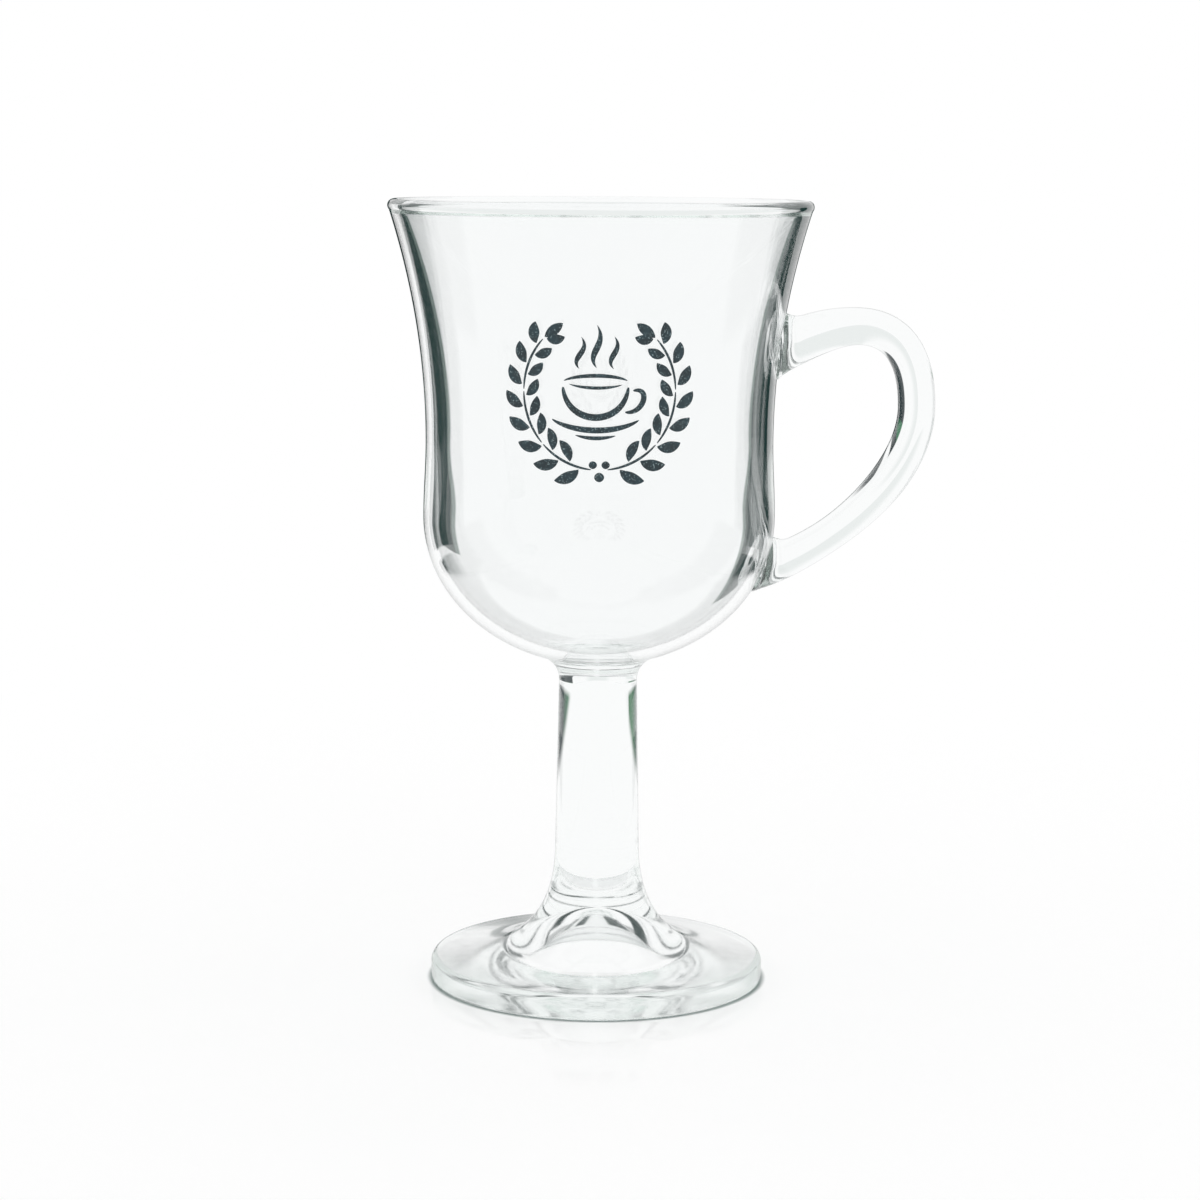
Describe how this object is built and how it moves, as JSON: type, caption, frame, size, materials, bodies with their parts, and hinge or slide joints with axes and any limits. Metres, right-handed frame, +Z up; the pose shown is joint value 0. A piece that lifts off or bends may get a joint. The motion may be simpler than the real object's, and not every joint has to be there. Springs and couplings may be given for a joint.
{
  "type": "irish coffee glass mug",
  "caption": "Clear stemmed coffee glass with a flared bowl, a fused loop handle, a solid stem and a round dimpled foot.",
  "frame": {"origin": "centre of the foot's resting ring, on the axis of the bowl, stem and foot, on the surface that the glass stands on", "axes": "+Z up along the axis of the bowl, stem and foot, +X from that axis towards the handle, so the glass is alike on its +Y and -Y sides"},
  "size_m": [0.1037, 0.0802, 0.15],
  "materials": {
    "clear_glass": "clear pressed soda-lime glass, fire-polished",
    "print_ink": "fired ceramic ink, satin"
  },
  "bodies": {
    "root": {"bowl": "clear_glass", "handle": "clear_glass", "stem": "clear_glass", "foot": "clear_glass"}
  },
  "joints": []
}
